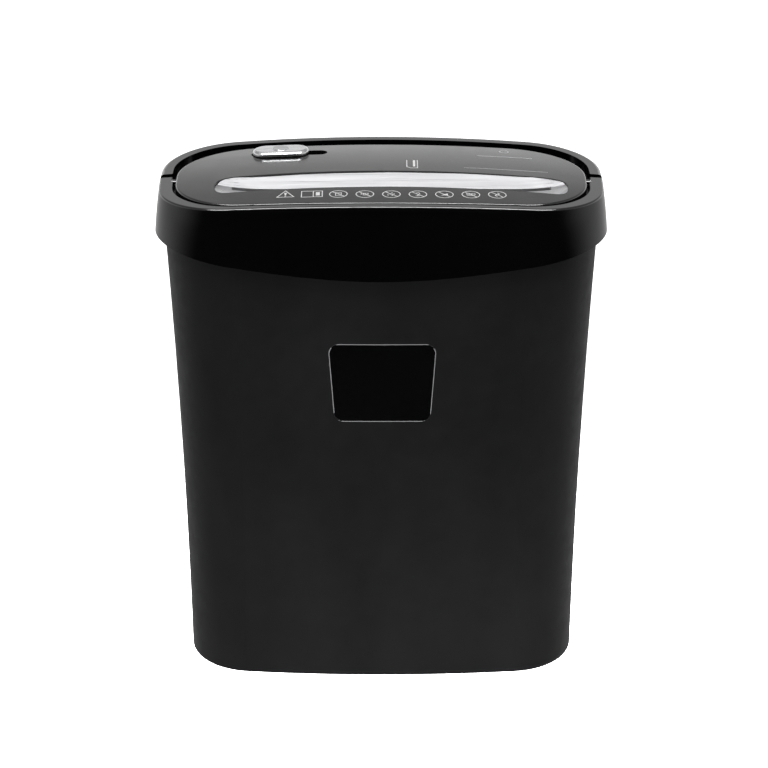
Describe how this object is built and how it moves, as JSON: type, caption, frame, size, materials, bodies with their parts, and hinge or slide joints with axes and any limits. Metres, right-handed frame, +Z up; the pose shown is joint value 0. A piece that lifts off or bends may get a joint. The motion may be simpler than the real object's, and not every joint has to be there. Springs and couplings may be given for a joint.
{
  "type": "paper shredder",
  "caption": "Desktop paper shredder: flared waste bin with a window, and a lift-off head with a slot, slide switch and folding carry handle.",
  "frame": {"origin": "centre of the bin's underside, on the surface it stands on", "axes": "+Z up, -Y towards the front with the window, +X to the right seen from the front"},
  "size_m": [0.3246, 0.1658, 0.3857],
  "materials": {
    "bin_plastic": "fine matte texture",
    "window": "smoked gloss",
    "gloss_black": "gloss",
    "panel_black": "satin gloss",
    "brushed_silver": "brushed",
    "silver_knob": "satin",
    "inner_plastic": "matte",
    "steel": "machined",
    "hard_steel": "ground",
    "zinc_steel": "zinc plated",
    "bronze": "sintered",
    "gear_nylon": "moulded",
    "magnet": "sintered ferrite",
    "board_green": "solder mask",
    "component_black": "moulded",
    "red_plastic": "moulded",
    "rubber": "moulded"
  },
  "bodies": {
    "bin": {"bin_shell": "bin_plastic", "bin_window": "window"},
    "head": {"head_housing": "gloss_black", "control_panel": "panel_black", "slot_insert": "brushed_silver", "throat_guide": "inner_plastic", "base_cover": "inner_plastic", "handle_pins": "gloss_black", "slide_switch": "inner_plastic", "left_frame_plate": "zinc_steel", "right_frame_plate": "zinc_steel", "tie_rods": "steel", "front_stripper_comb": "inner_plastic", "rear_stripper_comb": "inner_plastic", "shaft_bushes": "bronze", "idler_pin": "steel", "gearbox_cover": "inner_plastic", "motor_can": "zinc_steel", "motor_magnets": "magnet", "motor_end_cap": "inner_plastic", "motor_screws": "steel", "circuit_board": "board_green", "board_components": "component_black", "board_standoffs": "bronze", "board_screws": "steel", "housing_screws": "steel", "interlock_switch": "component_black", "paper_sensor_bracket": "inner_plastic", "paper_sensor_pin": "steel", "cord_gland": "rubber"},
    "handle": {"carry_handle": "gloss_black"},
    "switch_knob": {"switch_knob": "silver_knob"},
    "front_cutter": {"front_cutter": "hard_steel", "front_sync_gear": "steel", "front_shaft_clip": "steel"},
    "rear_cutter": {"rear_cutter": "hard_steel", "rear_sync_gear": "steel", "drive_gear": "gear_nylon", "rear_shaft_clip": "steel"},
    "idler": {"idler_gear": "gear_nylon"},
    "motor_rotor": {"motor_rotor": "steel", "motor_pinion": "bronze"},
    "interlock_plunger": {"interlock_plunger": "red_plastic"},
    "paper_lever": {"paper_sensor_lever": "inner_plastic"}
  },
  "joints": [
    {"name": "head_lift", "type": "slide", "parent": "bin", "child": "head", "axis": [0, 0, 1], "range_m": [0, 0.12]},
    {"name": "handle_fold", "type": "hinge", "parent": "head", "child": "handle", "pos_m": [0, 0.0095, 0.3679], "axis": [1, 0, 0], "range_deg": [0, 90]},
    {"name": "switch_slide", "type": "slide", "parent": "head", "child": "switch_knob", "axis": [1, 0, 0], "range_m": [0, 0.012]},
    {"name": "rear_cutter_spin", "type": "hinge", "parent": "head", "child": "rear_cutter", "pos_m": [0, -0.009, 0.332], "axis": [1, 0, 0], "continuous": true},
    {"name": "front_cutter_spin", "type": "hinge", "parent": "head", "child": "front_cutter", "pos_m": [0, -0.041, 0.332], "axis": [1, 0, 0], "continuous": true},
    {"name": "idler_spin", "type": "hinge", "parent": "head", "child": "idler", "pos_m": [0, 0.0191, 0.3215], "axis": [1, 0, 0], "continuous": true},
    {"name": "motor_spin", "type": "hinge", "parent": "head", "child": "motor_rotor", "pos_m": [0, 0.038, 0.332], "axis": [1, 0, 0], "continuous": true},
    {"name": "interlock_press", "type": "slide", "parent": "head", "child": "interlock_plunger", "axis": [0, 0, 1], "range_m": [0, 0.0015], "stiffness_N_per_m": 120},
    {"name": "paper_lever_swing", "type": "hinge", "parent": "head", "child": "paper_lever", "pos_m": [0, -0.0145, 0.367], "axis": [1, 0, 0], "range_deg": [0, 25], "stiffness_Nm_per_rad": 0.003}
  ],
  "couplings": [
    {"joint": "front_cutter_spin", "follows": "rear_cutter_spin", "ratio": -1},
    {"joint": "idler_spin", "follows": "rear_cutter_spin", "ratio": -3},
    {"joint": "motor_spin", "follows": "rear_cutter_spin", "ratio": 13.2}
  ]
}
